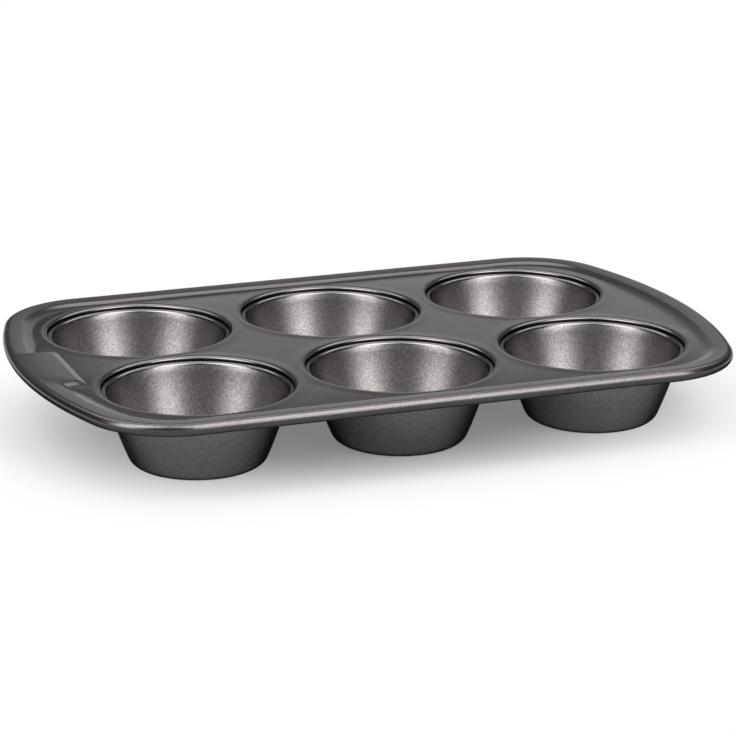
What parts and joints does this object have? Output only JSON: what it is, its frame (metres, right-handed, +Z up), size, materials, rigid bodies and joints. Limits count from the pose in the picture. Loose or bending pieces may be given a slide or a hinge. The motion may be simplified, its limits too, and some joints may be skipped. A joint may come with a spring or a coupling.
{
  "type": "muffin pan",
  "caption": "Dark non-stick steel muffin pan: a recessed tray with a rolled, wired edge and bowed ends, holding tapered round cups in rows.",
  "frame": {"origin": "centre of the pan's footprint, on the surface that the cup bottoms stand on", "axes": "+X along the rows of cups, away from the end with the panel; +Y across the rows, to the back; +Z up"},
  "size_m": [0.2794, 0.1794, 0.0314],
  "materials": {
    "tray_coated_steel": "satin dark grey non-stick coating on pressed steel",
    "cup_coated_steel": "finely textured warm grey non-stick coating on drawn steel",
    "wire_steel": "bare drawn wire"
  },
  "bodies": {
    "root": {"tray": "tray_coated_steel", "cup_front_left": "cup_coated_steel", "cup_front_middle": "cup_coated_steel", "cup_front_right": "cup_coated_steel", "cup_back_left": "cup_coated_steel", "cup_back_middle": "cup_coated_steel", "cup_back_right": "cup_coated_steel", "rim_wire": "wire_steel"}
  },
  "joints": []
}
